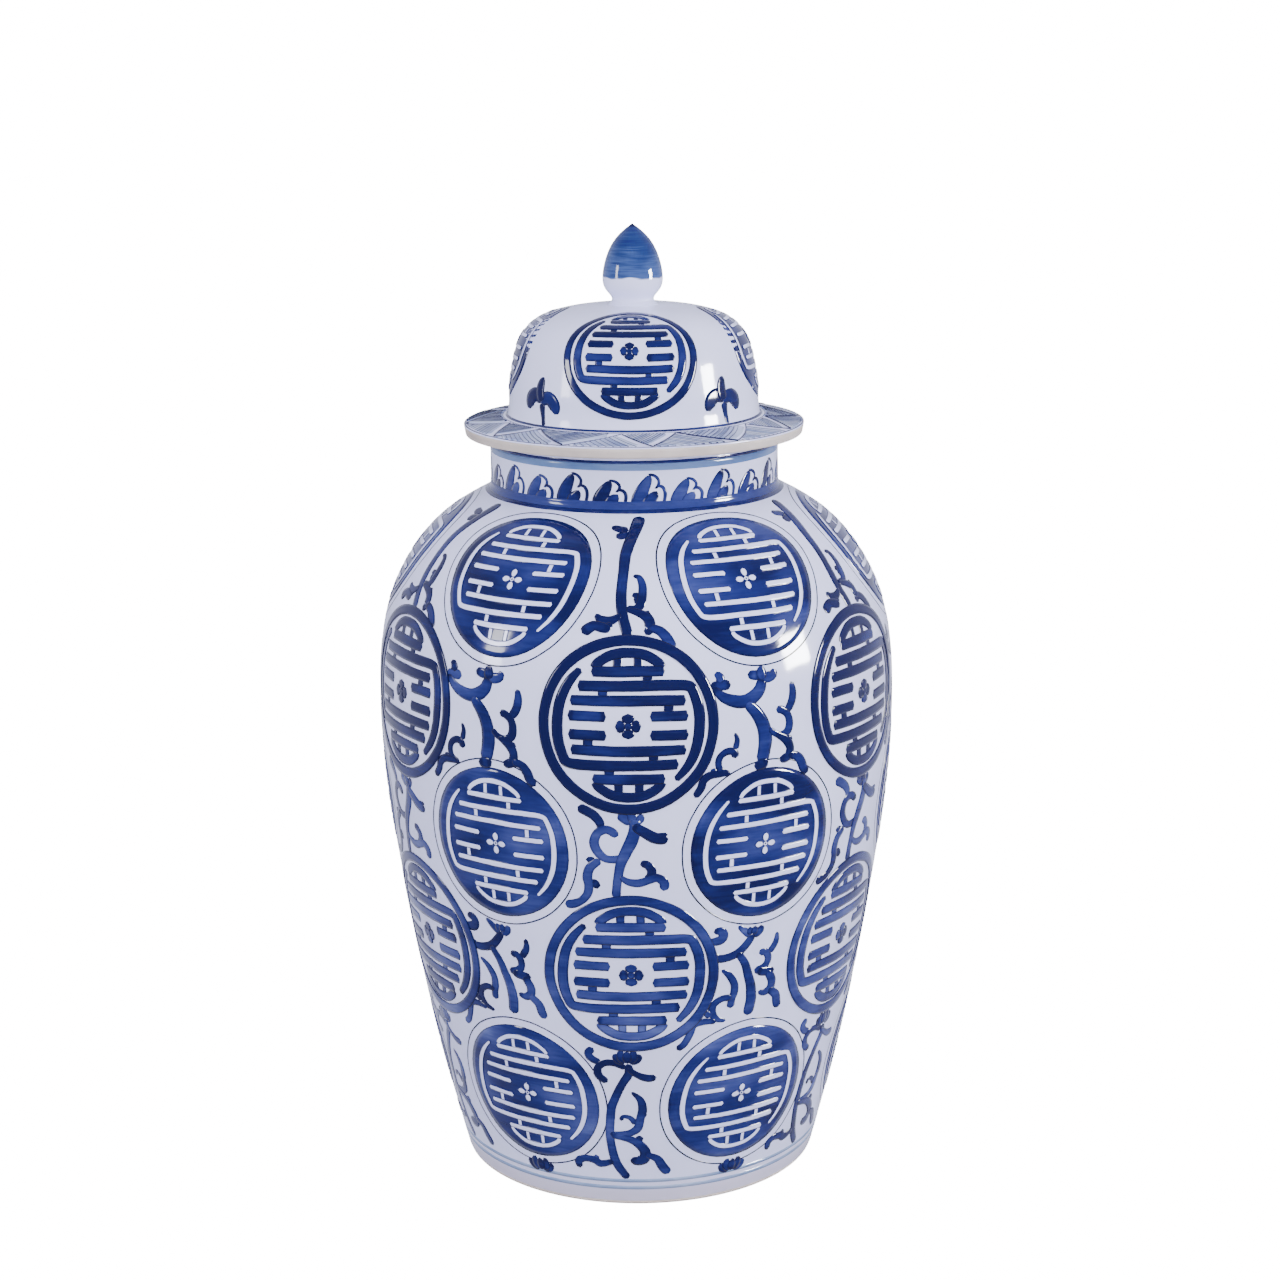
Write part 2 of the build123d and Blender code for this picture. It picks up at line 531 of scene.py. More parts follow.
jar_section = joined(
    stretch(jar_outside, foot_arc, along(jar_outside)[-1]),
    straight_run(jar_outside[-1], (NECK_BORE, jar_outside[-1][1])),
    straight_run((NECK_BORE, jar_outside[-1][1]), (NECK_BORE, jar_inside[0][1] + 3), tuple(jar_inside[0])),
    2.0,
    jar_inside,
    straight_run(tuple(jar_inside[-1]), (jar_inside[-1][0], FLOOR_TOP)),
    straight_run((jar_inside[-1][0], FLOOR_TOP), (0, FLOOR_TOP)),
    straight_run((0, FLOOR_TOP), (0, RECESS_TOP), spacing=20),
    straight_run((0, RECESS_TOP), (FOOT_RING_BORE, RECESS_TOP)),
    2.0,
    straight_run((FOOT_RING_BORE, RECESS_TOP), (FOOT_RING_BORE, FOOT_BARE_HEIGHT)),
    straight_run((FOOT_RING_BORE, FOOT_BARE_HEIGHT), (glaze_line_radius, FOOT_BARE_HEIGHT)),
)
foot_section = outline(
    (glaze_line_radius, FOOT_BARE_HEIGHT),
    (FOOT_RING_BORE, FOOT_BARE_HEIGHT),
    (FOOT_RING_BORE + 1.2, 0),
    (FOOT_RADIUS - 0.4, 0),
    (glaze_line_radius, FOOT_BARE_HEIGHT),
    rounds=(0, 0.8, 1.2),
)
rim_section = outline(
    (NECK_RADIUS, RIM_HEIGHT - RIM_BARE_HEIGHT),
    (NECK_RADIUS, RIM_HEIGHT),
    (NECK_BORE, RIM_HEIGHT),
    (NECK_BORE, RIM_HEIGHT - RIM_BARE_HEIGHT),
    (NECK_RADIUS, RIM_HEIGHT - RIM_BARE_HEIGHT),
    rounds=(0.9, 0.9, 0),
)
dome_line = smooth_run(DOME_PROFILE, 1.5)
lid_outside = joined(
    straight_run((FLANGE_RADIUS - 0.1, FLANGE_BARE_TOP), (FLANGE_RADIUS, FLANGE_EDGE_TOP), spacing=1.0),
    0.6,
    straight_run((FLANGE_RADIUS, FLANGE_EDGE_TOP), (DOME_RADIUS, DOME_BASE)),
    1.6,
    dome_line,
)
lid_inside = inside_of(dome_line, LID_WALL)
lid_section = joined(
    lid_outside,
    straight_run((FINIAL_FOOT_RADIUS, FINIAL_SEAT), (0, FINIAL_SEAT)),
    straight_run((0, FINIAL_SEAT), (0, lid_inside[0][1]), spacing=20),
    straight_run((0, lid_inside[0][1]), tuple(lid_inside[0])),
    lid_inside,
    straight_run(tuple(lid_inside[-1]), (RING_BORE, FLANGE_BARE_TOP)),
    straight_run((RING_BORE, FLANGE_BARE_TOP), (FLANGE_RADIUS - 0.1, FLANGE_BARE_TOP)),
)
flange_section = outline(
    (FLANGE_RADIUS - 0.1, FLANGE_BARE_TOP),
    (RING_BORE, FLANGE_BARE_TOP),
    (RING_BORE, RIM_HEIGHT),
    (FLANGE_RADIUS - 1.0, RIM_HEIGHT),
    (FLANGE_RADIUS - 0.1, FLANGE_BARE_TOP),
    rounds=(0, 0, 0.8),
)
ring_section = outline(
    (RING_RADIUS, RIM_HEIGHT),
    (RING_BORE, RIM_HEIGHT),
    (RING_BORE, RING_FOOT),
    (RING_RADIUS, RING_FOOT),
    (RING_RADIUS, RIM_HEIGHT),
    rounds=(0, 1.0, 1.0),
)
bud_line = smooth_run(FINIAL_PROFILE, 0.8)
finial_section = joined(
    bud_line,
    straight_run((0, FINIAL_TIP), (0, FINIAL_FOOT), spacing=60),
    straight_run((0, FINIAL_FOOT), tuple(bud_line[0])),
)


# ---------------------------------------------------------------- drawings, flat, in millimetres
# A mark is (is it a closed ring, its points), and a point is (across, up, half width of the brush).
# The scrolls are drawn where they stand, so up is the length up the jar's profile from the foot.


def mark(*points):
    return False, points


def ring_mark(radius, half_width, points=16):
    """A circle drawn in one go."""
    angles = [FULL_TURN * i / points for i in range(points)]
    return True, [(radius * math.sin(a), radius * math.cos(a), half_width) for a in angles]


def moved(marks, across=0.0, up=0.0, size=1.0, press=1.0):
    """Marks made larger or smaller about their middle, pressed harder or softer, and shifted."""
    return [
        (closed, [(across + x * size, up + y * size, w * size * press) for x, y, w in points])
        for closed, points in marks
    ]


def half_turned(marks):
    return [(closed, [(-x, -y, w) for x, y, w in points]) for closed, points in marks]


def lattice_roundel():
    """A four-petalled flower in a fret of bars that looks the same after half a turn."""
    ties = [
        mark((-5.4, 28.6, 2.1), (-5.2, 37.0, 2.1)),
        mark((5.4, 28.6, 2.1), (5.2, 37.0, 2.1)),
        mark((10, 20.5, 2.3), (10, 28.5, 2.3)),
        mark((-13, 13, 2.3), (-13, 21, 2.3)),
        mark((21, 4.8, 2.3), (21, 13.4, 2.3)),
    ]
    bars = [
        # a half-round cap
        mark((-17.5, 29.5, 2.1), (-15.5, 32.8, 2.4), (-8.5, 37.0, 2.5), (0, 38.2, 2.5), (8.5, 37.0, 2.5),
             (15.5, 32.8, 2.4), (17.5, 29.5, 2.1)),
        mark((-19, 28.4, 2.5), (0, 28.5, 2.7), (19, 28.4, 2.5)),
        # a long bar that turns down around the side
        mark((-26, 20.8, 2.6), (0, 21, 2.7), (22, 21, 2.7), (31.0, 20.4, 2.6), (33.8, 17.8, 2.6),
             (36.7, 9, 2.7), (37.1, -2, 2.7), (35.2, -13, 2.6), (30.8, -22, 2.3), (24.2, -29.6, 1.6)),
        # bars beside the flower
        mark((-30.2, 13.1, 2.5), (0, 13.3, 2.7), (30.2, 13.0, 2.5)),
        mark((11.2, 5, 2.5), (31.4, 5, 2.6)),
        mark((-31.4, 5, 2.6), (-11.2, 5, 2.5)),
    ]
    petals = [mark((1.2 * x, 1.2 * y, 1.5), (4.2 * x, 4.2 * y, 3.1), (6.8 * x, 6.8 * y, 1.7))
              for x, y in ((1, 0), (0, 1), (-1, 0), (0, -1))]
    return ties + half_turned(ties) + bars + half_turned(bars) + petals + [ring_mark(1.0, 1.1, 8)]


def flame_marks(height):
    """One leaning flame of the neck's border, with its two outlined lobes. height 1 is the tallest."""
    flame = [
        mark((3.6, -0.5, 3.4), (4.8, 5, 4.1), (7.0, 10.5, 3.5), (9.4, 15, 2.4), (11.0, 17.8, 1.1)),
        mark((9.0, -0.5, 3.4), (10.8, 4, 3.5), (13.2, 7.2, 2.4), (14.4, 9.2, 1.2)),
        mark((9.6, 18.4, 0.6), (13.2, 17.4, 0.8), (15.4, 14.8, 0.85), (14.8, 11.8, 0.8), (13.0, 10.6, 0.5)),
        mark((14.0, 12.0, 0.6), (17.2, 11.4, 0.9), (18.8, 8.4, 1.0), (18.4, 4.4, 0.9), (17.2, 1.4, 0.8)),
    ]
    return [(closed, [(x, y * height, w) for x, y, w in points]) for closed, points in flame]


def bud(across, up, size=1.0):
    """A bud of five petals opening upwards."""
    outer = ((1.6, -0.6, 1.0), (5.4, 0.6, 1.5), (7.2, 3.6, 1.5), (6.6, 6.0, 0.8))
    inner = ((0.9, -0.4, 1.4), (3.2, 2.6, 2.3), (3.7, 6.6, 1.7), (2.6, 8.6, 0.7))
    petals = [mark(*[(side * x, y, w) for x, y, w in petal]) for side in (-1, 1) for petal in (outer, inner)]
    petals.append(mark((0, -0.8, 1.4), (0, 3.4, 2.3), (0, 8.0, 0.9)))
    return tuple(moved(petals, across, up, size))


NECK_SCROLL = (  # between the top roundels, hanging from the neck
    mark((-9.1, 405.4, 1.5), (-5.6, 403.4, 1.9), (-0.4, 402.0, 2.1)),
    mark((-6.8, 396.6, 1.9), (-3.4, 398.2, 2.0), (0.8, 399.6, 1.7)),
    mark((5.3, 413.6, 2.5), (4.1, 407, 2.6), (2.1, 398.8, 2.4), (0.0, 391.5, 2.4), (-1.8, 384.3, 2.3),
         (-2.5, 376, 2.2), (-3.1, 367.9, 2.1), (-3.6, 358.8, 2.2), (-3.0, 350.6, 2.2), (-1.5, 344.3, 2.2),
         (0.3, 338, 2.2)),
    mark((1.8, 360.0, 0.9), (3.8, 360.5, 1.4), (5.0, 358.4, 1.7), (5.6, 355.2, 1.8)),
    mark((2.3, 371.5, 0.7), (5.5, 370.6, 1.2), (7.3, 366.1, 1.6), (7.4, 360.6, 1.8), (6.4, 355.2, 1.9),
         (3.6, 352.9, 1.6), (-0.9, 353.8, 1.1)),
    mark((9.1, 348.6, 1.6), (10.8, 352.2, 1.5)),
    mark((-0.9, 352.9, 1.0), (5, 351.1, 1.5), (9.5, 348.8, 2.0), (11.4, 345.2, 2.2), (10.8, 341.6, 2.1),
         (8.2, 341.2, 1.9)),
    mark((11.2, 343.2, 1.6), (16.4, 341.2, 1.9), (19.8, 338.0, 2.1), (22.4, 334.2, 2.0),
         (24.0, 331.4, 1.8)),
    mark((-16.5, 350.4, 1.0), (-14.7, 347.9, 1.6), (-11.5, 346.6, 2.0), (-8, 347.2, 1.7),
         (-3.6, 350.0, 1.0)),
    mark((-9.8, 346.4, 1.8), (-9.8, 342.8, 2.0)),
    mark((-8.6, 342.4, 1.7), (-13.0, 343.3, 2.1), (-17.4, 344.0, 2.0), (-21, 342.0, 2.2),
         (-23.6, 339.8, 2.2)),
)
UPPER_SCROLL = (  # between the roundels of the second row
    mark((-31.5, 311.6, 1.5), (-27, 311.2, 1.9), (-23.4, 311.2, 2.1), (-20.4, 311.0, 1.8)),
    mark((-29.2, 317.0, 1.4), (-26.6, 316.2, 1.8), (-25.6, 312.4, 2.1)),
    mark((-30.2, 310.4, 1.2), (-25.6, 305.4, 2.0), (-20.2, 302.7, 2.5), (-13.8, 301.7, 2.7),
         (-8.2, 303.4, 2.8), (-4.1, 307.0, 2.6), (-2.2, 312.6, 2.3)),
    mark((-10.8, 315.6, 1.6), (-6.8, 314.6, 2.0), (-2.9, 314.2, 2.1)),
    mark((4.6, 316.8, 1.6), (4.6, 313.8, 2.0), (1.2, 312.6, 2.2), (-2.0, 313.4, 2.0)),
    mark((-2.7, 319.2, 1.5), (-2.5, 315.6, 2.2), (-2.4, 311.4, 2.3)),
    mark((-12.4, 300.8, 2.0), (-6.7, 294.9, 2.7), (-3.1, 288.2, 3.0), (-1.7, 280.9, 3.2),
         (-2.5, 273.6, 3.0), (-4.4, 267.4, 2.9)),
    mark((-8.6, 266.2, 1.9), (-4.2, 266.6, 2.3), (0.2, 267.6, 1.9)),
    mark((15.3, 308.4, 0.9), (16.2, 303.6, 1.7), (15.3, 298.2, 1.9), (12.1, 292.9, 1.7)),
    mark((5.3, 295, 1.7), (8.5, 294.5, 1.6), (12.1, 291.8, 1.6), (13.5, 287.3, 1.8), (12.5, 282.9, 1.9),
         (8.9, 281.1, 1.5), (4.4, 282.3, 1.3), (0.7, 285.7, 1.1)),
    mark((10.4, 278.6, 1.6), (15.5, 277.8, 1.4)),
    mark((4.4, 281.6, 1.0), (7.1, 280.7, 1.4), (11.6, 277.7, 2.0), (13.9, 273.6, 1.9), (13.0, 269.3, 2.0),
         (9.8, 267.9, 1.9), (7.4, 268.9, 1.5)),
    mark((12.8, 269.4, 1.6), (18.3, 268.0, 1.8), (21.2, 264.5, 2.1), (23.2, 260.2, 2.0),
         (26.2, 257.5, 1.5)),
    mark((-19.5, 285.9, 0.6), (-18.2, 281.8, 1.1), (-19.4, 276.6, 1.4)),
    mark((-19.2, 271.9, 1.7), (-20.0, 275.3, 1.6), (-23.8, 276.0, 1.5), (-27.5, 273.4, 1.4),
         (-28.4, 269.1, 1.4), (-26.5, 265.7, 1.3), (-22.0, 264.3, 0.8)),
    mark((-32.5, 267.3, 1.3), (-29.5, 264.6, 1.4)),
    mark((-21.8, 263.8, 0.8), (-27.5, 264.3, 1.4), (-32.9, 264.1, 1.7), (-36.5, 261.6, 1.7),
         (-37.9, 257.5, 1.7), (-41.3, 252.7, 1.5)),
)
MIDDLE_SCROLL = (  # between the roundels of the third row
    mark((-27, 247.9, 2.0), (-22, 245.6, 2.1), (-17.9, 242.9, 2.0), (-15.2, 239.3, 1.8),
         (-14.9, 235.6, 1.5)),
    mark((-7.5, 231.3, 1.9), (-8.1, 234.0, 1.8), (-12, 235.8, 1.8), (-16.5, 233.8, 1.9),
         (-18.4, 228.4, 2.0), (-16.5, 222.9, 1.9), (-12, 219.2, 1.7), (-5.6, 219.5, 1.6),
         (-2.4, 222.6, 1.0)),
    mark((-23.2, 218.6, 1.2), (-18.0, 218.4, 1.5)),
    mark((-20.4, 207.1, 1.4), (-17.9, 204.1, 1.7), (-15.6, 203.5, 1.6)),
    mark((-15.5, 218.7, 1.6), (-20.9, 214.0, 1.9), (-22.5, 208.4, 2.0), (-21.8, 203.6, 1.9),
         (-22.5, 198.6, 1.8), (-25.6, 194.5, 1.7), (-30.2, 192.2, 1.9), (-35, 191.6, 2.0)),
    mark((-5.8, 244.6, 1.8), (-2.2, 242.0, 2.0), (1.6, 239.7, 2.0)),
    mark((6.2, 244.8, 1.5), (6.0, 241.7, 1.7), (2.6, 239.5, 1.8)),
    mark((0.4, 245.8, 1.5), (1.8, 242.7, 2.0), (2.8, 239.6, 2.0)),
    mark((2.6, 242, 2.2), (3.2, 236.6, 2.4), (1.6, 230.2, 2.6), (-2, 222.9, 2.4), (-4.7, 216.5, 2.1),
         (-6.1, 210.2, 1.9), (-7, 203.8, 1.8), (-7.5, 196.6, 1.9)),
    mark((12.8, 232.0, 1.4), (20.4, 233.0, 0.8)),
    mark((1.9, 238.3, 1.7), (7.5, 234.7, 2.2), (12.5, 231.6, 2.4), (17.1, 230.2, 2.2), (20.6, 230.4, 1.7)),
    mark((5.3, 216.0, 1.6), (8.5, 216.2, 1.7), (11.2, 212.9, 1.9), (10.9, 208.9, 2.0), (7.5, 207.3, 1.8)),
    mark((-5.3, 209.4, 0.9), (-1.1, 206.3, 1.5), (4.4, 205.4, 1.8), (9.8, 207.1, 1.7), (14.4, 208.3, 1.8),
         (18, 205.2, 2.0), (17.5, 200.6, 1.8)),
)
LOWER_SCROLL = (  # between the roundels of the fourth row
    mark((-26.6, 173.8, 1.3), (-22.9, 174.2, 1.9), (-20.8, 171.4, 2.2), (-22.2, 168.6, 2.3),
         (-26.6, 168.0, 1.8), (-30.0, 169, 1.2)),
    mark((-27.4, 161.3, 1.2), (-22.5, 157.2, 1.8), (-16.5, 157.2, 1.9), (-10.6, 159.5, 2.0),
         (-6.1, 164.1, 1.9), (-2.9, 169.1, 1.7)),
    mark((-12.5, 175.6, 0.7), (-9.0, 172.5, 1.5), (-4.4, 168.4, 1.8)),
    mark((1.4, 174.0, 1.4), (1.2, 170.5, 1.7), (-2.9, 168.0, 1.8)),
    mark((-5.4, 174.0, 1.2), (-4.4, 168.8, 1.8)),
    mark((-1.8, 174.2, 1.2), (-2.8, 168.8, 1.8)),
    mark((-11.4, 158.9, 1.5), (-6.5, 151.8, 1.8), (-3.8, 144.5, 2.0), (-1.5, 137.3, 2.3), (-0.6, 130, 2.5),
         (-1.1, 124.5, 2.5), (-2, 119.3, 2.4)),
    mark((12.3, 167.7, 0.8), (12.1, 161.8, 1.5), (8.3, 155.8, 1.6)),
    mark((1.6, 156.4, 1.6), (5.3, 157.1, 1.6), (7.8, 153.6, 1.7), (7.1, 149.3, 1.7), (3.5, 146.6, 1.9),
         (-0.4, 147.0, 1.6)),
    mark((1.6, 145.8, 1.8), (7.2, 144.6, 2.0), (12.8, 144.4, 1.7)),
    mark((8.3, 144.3, 1.8), (11.7, 138.8, 2.0), (11.3, 133.8, 1.9), (7.5, 131.6, 1.6), (3.6, 133, 0.9)),
    mark((10.4, 132.9, 1.6), (15.3, 128.6, 2.0), (16.8, 123.6, 2.1), (18.4, 119.8, 1.7)),
    mark((-20.2, 150, 0.6), (-15.6, 146.4, 1.4), (-12, 140.9, 1.7), (-11.5, 135.5, 1.8),
         (-12.7, 130.7, 1.7), (-12.9, 125.7, 1.8)),
    mark((-12.5, 132.2, 1.4), (-18.4, 132.3, 1.5), (-22.9, 129.1, 1.6), (-23.4, 124.5, 1.7),
         (-20.6, 120.2, 1.4), (-14.8, 118.3, 0.7)),
    mark((-27.7, 125.2, 1.3), (-24.0, 121.8, 1.5)),
    mark((-20.4, 118.4, 1.0), (-27.5, 119.3, 1.5), (-32.9, 118.0, 1.6), (-34.7, 112.7, 1.6),
         (-37.5, 106.6, 1.6), (-41.3, 103.6, 1.6)),
)
FOOT_SCROLL = (  # between the roundels of the lowest row
    mark((-21.4, 104.6, 1.7), (-24.3, 101.1, 1.8), (-22.2, 97.5, 1.7), (-17.4, 95.4, 1.5)),
    mark((-3.8, 92.6, 1.3), (-10.2, 95.5, 1.5), (-15.6, 95.2, 1.6), (-19.1, 92, 1.7), (-18.6, 87, 1.8),
         (-13.8, 83.1, 1.5)),
    *bud(-3.0, 96.2, 0.9),
    mark((-2.9, 95.4, 1.6), (-2.2, 89.5, 1.9), (-5.6, 82.9, 1.8), (-9.3, 74.7, 1.8), (-12, 66.5, 1.9),
         (-12.9, 58.4, 1.9), (-13.2, 50.2, 1.9), (-12.7, 42, 1.8), (-10.6, 31.1, 1.9), (-7.9, 24.7, 1.9),
         (-3.6, 18.3, 1.7)),
    mark((-2.8, 92.3, 1.1), (2.5, 88.1, 1.5), (8, 85.8, 1.8), (12.8, 86.3, 1.5)),
    mark((3.4, 60.9, 1.4), (7.2, 62.1, 1.0)),
    mark((-7, 57.7, 1.0), (-6.1, 60.5, 0.9), (-2.2, 60.0, 1.1), (1.2, 55.7, 1.5)),
    mark((-1.1, 77, 0.6), (3.5, 72, 1.5), (4.8, 65.6, 1.9), (3.5, 59.3, 1.8), (1.9, 52.9, 1.9),
         (-2.3, 49.5, 1.7), (-8.4, 48.6, 1.4), (-13.2, 48.6, 1.2)),
    mark((0.5, 44.9, 1.7), (5.1, 46.2, 1.7)),
    mark((-12.4, 47.7, 1.4), (-2.9, 45.4, 1.7), (2.7, 41.8, 2.1), (6.0, 36.5, 2.3), (5.0, 31.6, 2.4),
         (0.8, 30.8, 2.4), (-1.1, 33, 1.8)),
    mark((6.1, 34.9, 1.3), (12.3, 32, 1.8), (15.3, 26.5, 2.1), (18.9, 21.3, 1.9)),
    mark((-21.4, 29.9, 1.5), (-21.3, 33.8, 1.4)),
    mark((-11.5, 29.9, 1.4), (-18.4, 27.7, 1.8), (-22, 29.8, 1.8), (-27.5, 30.6, 1.7), (-31.3, 28.4, 1.9),
         (-30.6, 23.6, 1.2)),
)
FOOT_BUD = bud(0.4, 17.6, 0.95)  # under each roundel of the lowest row
LID_SPRIG = (  # a three-lobed sprig on the dome
    mark((2.4, -1.6, 1.4), (1.2, 4.6, 1.7), (0.2, 11.0, 2.6)),
    mark((1.2, 12.0, 3.0), (-4.4, 14.8, 3.9), (-8.8, 12.8, 4.2), (-10.2, 8.8, 3.6), (-9.8, 6.6, 2.8)),
    mark((-1.2, 11.6, 3.0), (4.8, 13.8, 3.9), (9.0, 11.2, 4.1), (10.2, 7.4, 3.4), (9.6, 5.4, 2.6)),
    mark((0, 11.4, 3.0), (-1.2, 16.6, 3.2), (-0.8, 20.8, 3.0), (0.8, 24.8, 1.4)),
)


def lines_object(name, lines):
    """Polylines as one curve object for the trees to read."""
    curve = bpy.data.curves.new(name, "CURVE")
    curve.dimensions = "3D"
    for closed, points in lines:
        spline = curve.splines.new("POLY")
        spline.points.add(len(points) - 1)
        spline.use_cyclic_u = closed
        for point, (x, y, z, half_width) in zip(spline.points, points, strict=True):
            point.co = (x * MM, y * MM, z * MM, 1.0)
            point.radius = half_width * MM
    return placed(name, curve)


def profile_curve(name, line):
    """A line of (radius, height) points, upright."""
    return lines_object(name, [(False, [(radius, 0, height, 1) for radius, height in line])])


def drawing(name, marks):
    """A flat drawing, a line for each mark."""
    return lines_object(name, [(closed, [(x, y, 0, w) for x, y, w in points]) for closed, points in marks])


# ---------------------------------------------------------------- finishes

GLAZE_WHITE = (0.73, 0.735, 0.96, 1)
GLAZE_POOLED = (0.56, 0.575, 0.84, 1)
GLAZE_FOOT = (0.56, 0.49, 0.55, 1)
COBALT_DEEP = (0.0018, 0.0035, 0.046, 1)
COBALT_FULL = (0.0085, 0.0145, 0.106, 1)
COBALT_MIDDLE = (0.034, 0.047, 0.182, 1)
COBALT_THIN = (0.095, 0.122, 0.32, 1)
COBALT_LINE = (0.0015, 0.0035, 0.036, 1)
WASH_FULL = (0.14, 0.185, 0.36, 1)
WASH_THIN = (0.45, 0.49, 0.63, 1)
FINIAL_THIN = (0.050, 0.090, 0.238, 1)
FINIAL_BLUE = (0.014, 0.034, 0.130, 1)
BARE_CLAY = (0.60, 0.52, 0.45, 1)
BARE_CLAY_DARK = (0.42, 0.35, 0.30, 1)
NECK_WASH_FULL = (0.048, 0.105, 0.27, 1)
NECK_WASH_THIN = (0.17, 0.25, 0.43, 1)
FOOT_LINE_FULL = (0.13, 0.21, 0.40, 1)
FOOT_LINE_THIN = (0.36, 0.43, 0.58, 1)
GLAZE_IOR = 1.5


def new_finish(name, roughness):
    """A material with only its Principled shader, its tree, the shader and the place on the piece."""
    material = bpy.data.materials.new(name)
    material.use_nodes = True
    tree = Tree(material.node_tree)
    shader = next(node for node in material.node_tree.nodes if node.type == "BSDF_PRINCIPLED")
    shader.inputs["Roughness"].default_value = roughness
    shader.inputs["IOR"].default_value = GLAZE_IOR
    place = tree.node("ShaderNodeTexCoord")["Object"]
    return material, tree, shader, place


def blended(tree, amount, low, high):
    """A colour between two colours."""
    return tree.node("ShaderNodeMix", {"data_type": "RGBA"}, amount, low, high)


def attribute(tree, name):
    return tree.node("ShaderNodeAttribute", {"attribute_name": name})["Fac"]


def glaze_ripple(tree, shader, place):
    """The slight orange peel of a thick glaze."""
    ripple = tree.noise(place, 9 * MM, 2.0)["Fac"]
    bump = tree.node("ShaderNodeBump", None, 0.05, 1.0 * MM, height=ripple)
    tree.feed(shader.inputs["Normal"], bump)


def porcelain_colour(tree, place):
    """Cool white glaze with faint clouds and pin specks."""
    clouds = tree.noise(place, 60 * MM, 3.0)["Fac"].step_up(0.35, 0.75)
    white = blended(tree, clouds * 0.22, GLAZE_WHITE, GLAZE_POOLED)
    height = tree.parts(place)[2]
    white = blended(tree, height.step_up(20 * MM, 6 * MM) * 0.7, white, GLAZE_FOOT)
    specks = tree.noise(place, 2.2 * MM, 1.0)["Fac"].step_up(0.80, 0.86)
    return blended(tree, specks * 0.5, white, GLAZE_POOLED)


def glazed(name, roughness, colour):
    """A finish under the glaze. Its colour is worked out on a tree, from the place on the piece."""
    material, tree, shader, place = new_finish(name, roughness)
    tree.feed(shader.inputs["Base Color"], colour(tree, place))
    glaze_ripple(tree, shader, place)
    return material


def brush_wash(tree, place, size):
    """Uneven colour dragged level around the jar, as broad cloud and finer streaks. About 0 to 1."""
    x, y, z = tree.parts(place)
    level = tree.vector(x * 0.45, y * 0.45, z)
    clouds = tree.noise(level, size, 2.0, 0.5)["Fac"]
    streaks = tree.noise(tree.vector(x * 0.12, y * 0.12, z), size * 0.09, 2.0)["Fac"]
    return 0.5 + (clouds - 0.5) * 1.6 + (streaks - 0.5) * 0.35


def cobalt_colour(tree, place, depth, outlined):
    """Cobalt wash over white: uneven along a stroke, dark where the brush rests and at its edges.

    Depth is how much cobalt the brush holds, and outlined how strongly a thin line edges the stroke.
    """
    edge = attribute(tree, "edge") / MM
    near_end = attribute(tree, "near_end") / MM
    tone = attribute(tree, "tone")
    load = brush_wash(tree, place, 22 * MM) - 0.5 + (tone - 0.5) * 0.26 + depth
    pooled = near_end.step_up(4.0, 0.8) * tone.step_up(0.3, 0.6) * 0.35
    rim = edge.step_up(1.5, 0.2) * 0.12
    load = (load + pooled + rim).held()
    thin = blended(tree, load.step_up(0.0, 0.4), COBALT_THIN, COBALT_MIDDLE)
    full = blended(tree, load.step_up(0.3, 0.7), thin, COBALT_FULL)
    deep = blended(tree, load.step_up(0.6, 1.0), full, COBALT_DEEP)
    return blended(tree, edge.step_up(0.6, 0.25) * outlined, deep, COBALT_LINE)


def make_cobalt(name, depth, outlined=0.9):
    return glazed(name, 0.09, lambda tree, place: cobalt_colour(tree, place, depth, outlined))


def reserve_colour(tree, place):
    """White left in the blue: glaze with the thin dark outline of the drawing."""
    edge = attribute(tree, "edge") / MM
    return blended(tree, edge.step_up(0.55, 0.3), porcelain_colour(tree, place), COBALT_FULL)


def pale_wash_colour(tree, place):
    """Thin grey-blue wash, uneven where the brush ran dry."""
    thinness = (brush_wash(tree, place, 14 * MM) + (attribute(tree, "tone") - 0.4) * 0.9).held()
    return blended(tree, thinness, WASH_FULL, WASH_THIN)


def make_band(name, full, thin):
    """The colour of a level line drawn while the wheel turns."""

    def colour(tree, place):
        return blended(tree, brush_wash(tree, place, 16 * MM).held(), full, thin)

    return glazed(name, 0.09, colour)


def make_bare_clay():
    """Unglazed clay, gritty and a little stained."""
    material, tree, shader, place = new_finish("bare_clay", 0.75)
    grit = tree.noise(place, 1.6 * MM, 3.0, 0.7)["Fac"]
    clouds = tree.noise(place, 22 * MM, 2.0)["Fac"].step_up(0.3, 0.8)
    colour = blended(tree, clouds * 0.6 + grit.step_up(0.55, 0.75) * 0.3, BARE_CLAY, BARE_CLAY_DARK)
    tree.feed(shader.inputs["Base Color"], colour)
    bump = tree.node("ShaderNodeBump", None, 0.35, 0.3 * MM, height=grit)
    tree.feed(shader.inputs["Normal"], bump)
    return material


